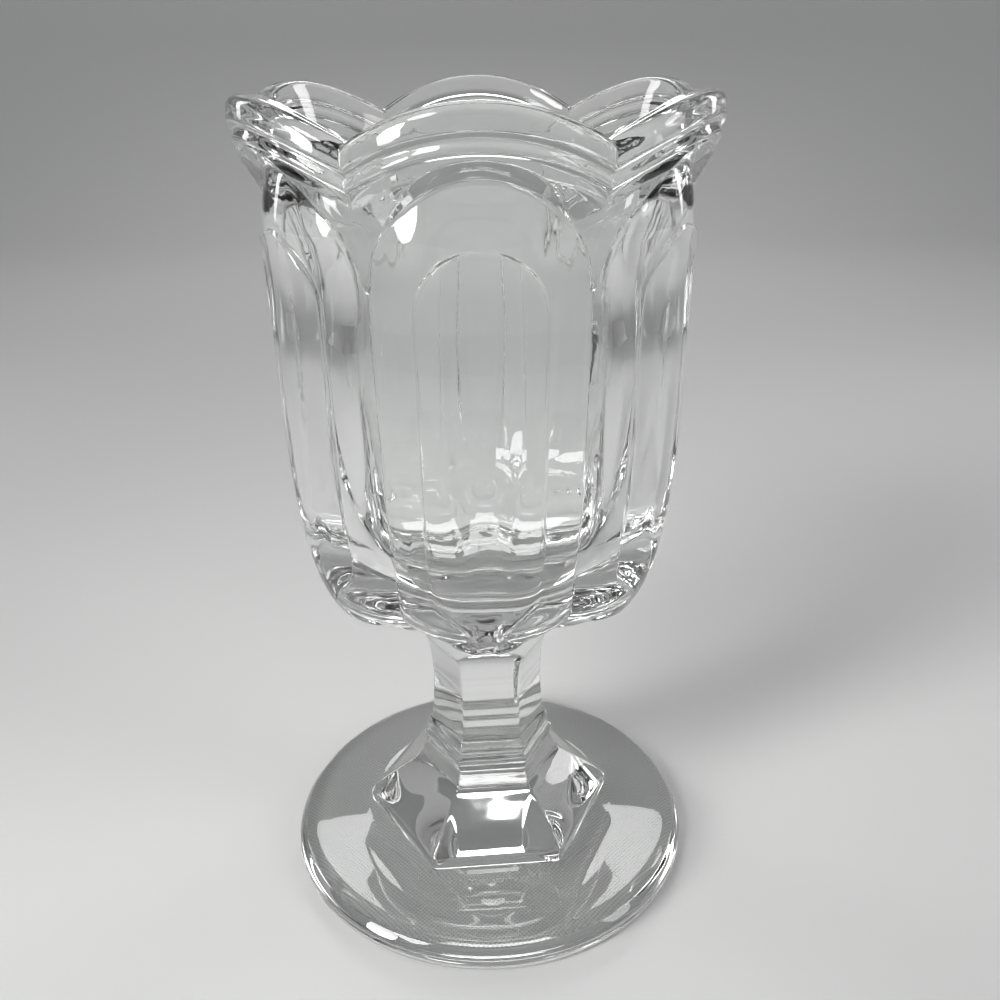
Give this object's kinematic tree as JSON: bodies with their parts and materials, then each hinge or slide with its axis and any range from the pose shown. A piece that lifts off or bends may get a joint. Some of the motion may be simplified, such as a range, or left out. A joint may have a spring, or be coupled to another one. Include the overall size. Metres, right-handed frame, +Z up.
{
  "type": "celery vase",
  "caption": "Footed pressed-glass vase with a petalled and panelled bowl, a scalloped lip with double beads, a hexagonal stem and a round foot.",
  "frame": {"origin": "centre of the foot's flat underside, where the vase rests on the table", "axes": "+Z is up along the vase's axis, -Y faces the picture with one petal of the bowl square to it, +X is to its right"},
  "size_m": [0.115, 0.115, 0.2099],
  "materials": {
    "clear_glass": "fire polished"
  },
  "bodies": {
    "root": {"bowl": "clear_glass", "wafer": "clear_glass", "stem": "clear_glass", "foot": "clear_glass"}
  },
  "joints": []
}
